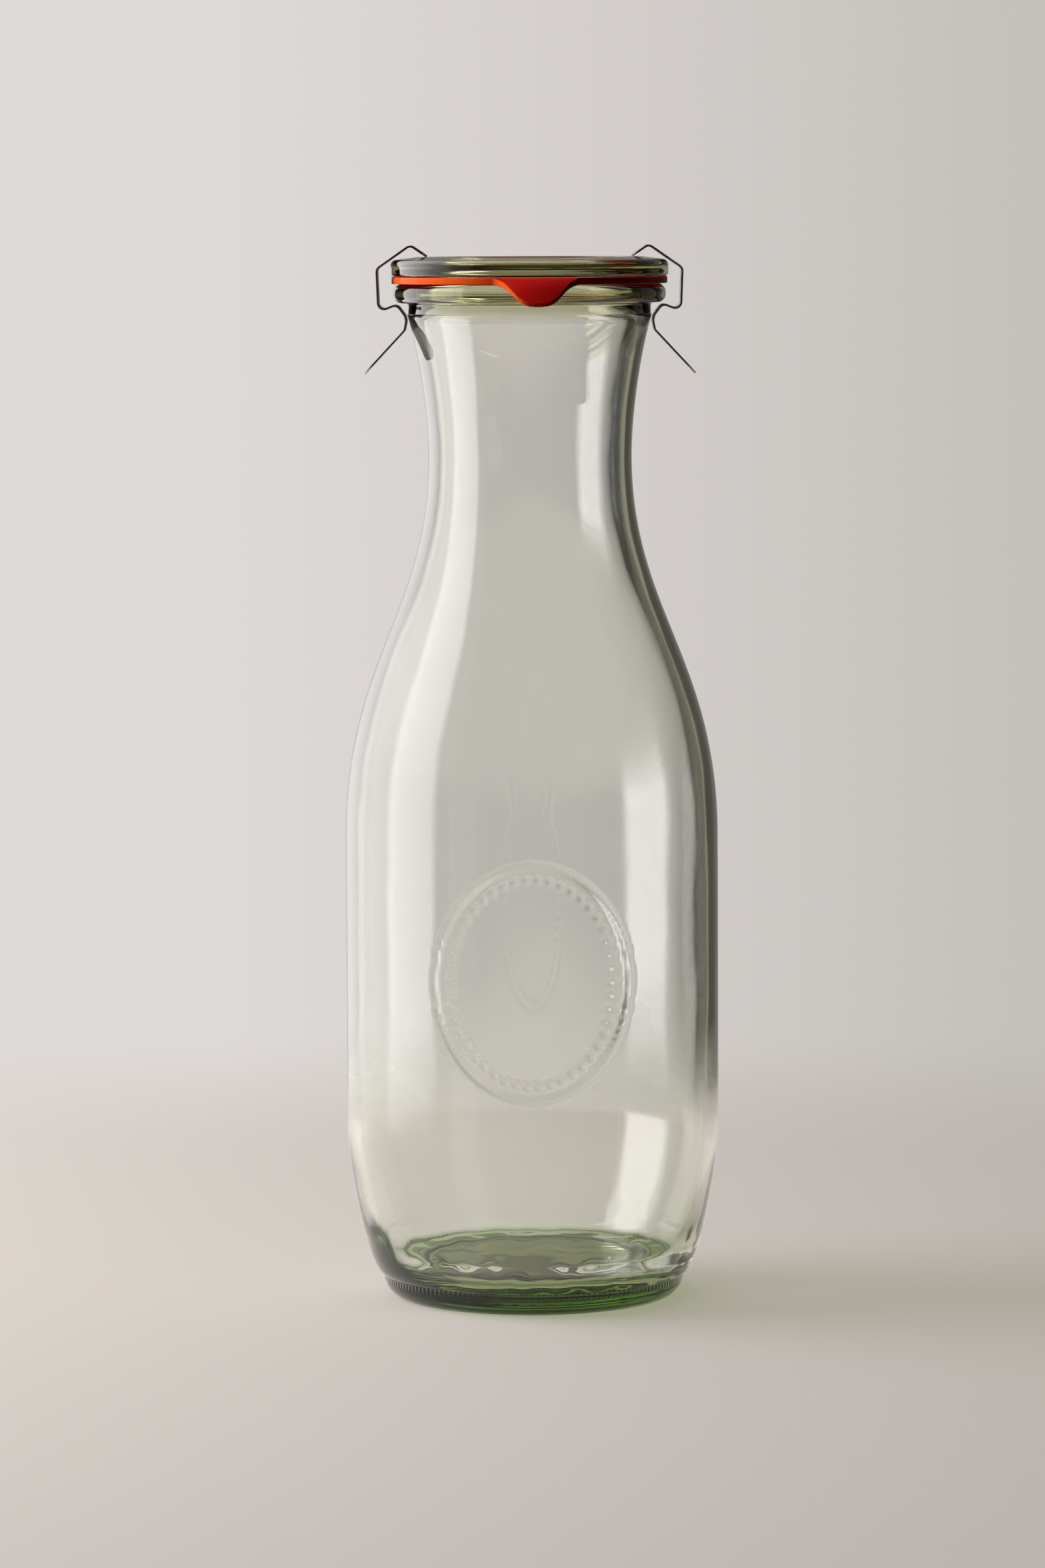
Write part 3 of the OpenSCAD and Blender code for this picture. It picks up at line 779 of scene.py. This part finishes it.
def steelNodes(g):
    grain = g.node("ShaderNodeAttribute", {"attribute_name": "strip"}).out("Vector")
    lines = g.noise(g.stretched(grain, (0.12, 6.0, 1.0)), clamp["lines"], 3.0, 0.6, 2.0)
    cloud = g.noise(grain, clamp["cloud"], 3.0, 0.6, 6.0)
    shaded = [c * clamp["steelShade"] for c in clamp["steel"]]
    colour = g.blend(g.smooth(cloud, 0.35, 0.7), clamp["steel"], shaded)
    bump = g.node("ShaderNodeBump", None,
                  {"Strength": 0.25, "Distance": clamp["bump"] * mm, "Height": lines})
    rough = g.smooth(lines + cloud * 0.5, 0.3, 1.1, *clamp["roughness"])
    return {"Surface": g.node("ShaderNodeBsdfPrincipled", None,
                              {"Base Color": colour, "Metallic": 1.0, "Normal": bump, "Roughness": rough})}


def clampLine(c):  # along the strip from its foot on the lid to its tail
    panel, rim, bead = (panelR, panelZ), (lid["r"], lidZ), (bottle["beadR"], bottle["beadZ"])
    bends = [("foot", panel, 0), ("topBend", panel, c["bendR"]), ("knee", rim, c["bendR"]),
             ("hookLow", bead, c["bendR"]), ("hookTop", bead, c["bendR"]), ("grip", bead, c["gripR"]),
             ("tailBend", bead, c["bendR"])]
    line = [(start[0] + c[name][0], start[1] + c[name][1], radius) for name, start, radius in bends]
    (x, z, radius), angle = line[-1], math.radians(c["tailAngle"])
    tip = (x + c["tailLen"] * math.cos(angle), z - c["tailLen"] * math.sin(angle), 0)
    return rounded(line + [tip], 12)


def stripShape(g, entry):  # a flat strip along the wire, with its corners rounded off
    wire = g.node("GeometryNodeMeshToCurve", None, {0: entry.out("Geometry")}).out()
    length = g.node("GeometryNodeCurveLength", None, {"Curve": wire}).out()
    grid = g.node("GeometryNodeMeshGrid", None,
                  {"Size X": 1.0, "Size Y": 1.0, "Vertices X": entry.out("Rows"),
                   "Vertices Y": entry.out("Across")})
    u, v, level = g.parts(g.node("GeometryNodeInputPosition"))
    s = (u + 0.5) * length

    def cut(distance, radius):   # how much a rounded corner takes off the half width
        inner = g.maths("MAXIMUM", radius - distance, 0.0)
        return radius - g.maths("SQRT", radius * radius - inner * inner)

    across = v * 2.0 * (entry.out("Width") * 0.5 - cut(s, entry.out("Foot corner"))
                        - cut(length - s, entry.out("Tail corner")))
    sample = g.node("GeometryNodeSampleCurve", {"mode": "FACTOR"}, {"Curves": wire, "Factor": u + 0.5})
    x, y, z = g.parts(sample.out("Position"))
    marked = g.node("GeometryNodeStoreNamedAttribute", {"data_type": "FLOAT_VECTOR", "domain": "POINT"},
                    {"Geometry": grid.out("Mesh"), "Name": "strip", "Value": g.join(s, across, 0.0)})
    return g.node("GeometryNodeSetPosition", None,
                  {"Geometry": marked, "Position": g.join(x * entry.out("Side"), across, z)})


springSteel = finish("spring steel", steelNodes)
stripKinds = {"Rows": "Int", "Across": "Int", "Width": "Float", "Tail corner": "Float",
              "Foot corner": "Float", "Side": "Float", "Material": "Material"}
stripTree = geometryTree("bent strip", stripKinds, stripShape)
for name, side in (("right", 1.0), ("left", -1.0)):
    strip = grown("clamp_strip_" + name, section(clampLine(clamp)), stripTree,
                  {"Rows": clamp["rows"], "Across": clamp["across"], "Width": clamp["width"] * mm,
                   "Tail corner": clamp["tailR"] * mm, "Foot corner": clamp["footR"] * mm,
                   "Side": side, "Material": springSteel})
    solid = strip.modifiers.new("thickness", "SOLIDIFY")
    solid.thickness, solid.offset = clamp["thick"] * mm, 0.0
    soften = strip.modifiers.new("broken edges", "BEVEL")
    soften.width, soften.segments = clamp["edge"] * mm, 2
    soften.limit_method, soften.angle_limit = "ANGLE", math.radians(clamp["sharp"])
    settled(strip)
    strip.data.polygons.foreach_set("use_smooth", [True] * len(strip.data.polygons))
    dressed(strip, name + "_clamp", "clamp_" + name)
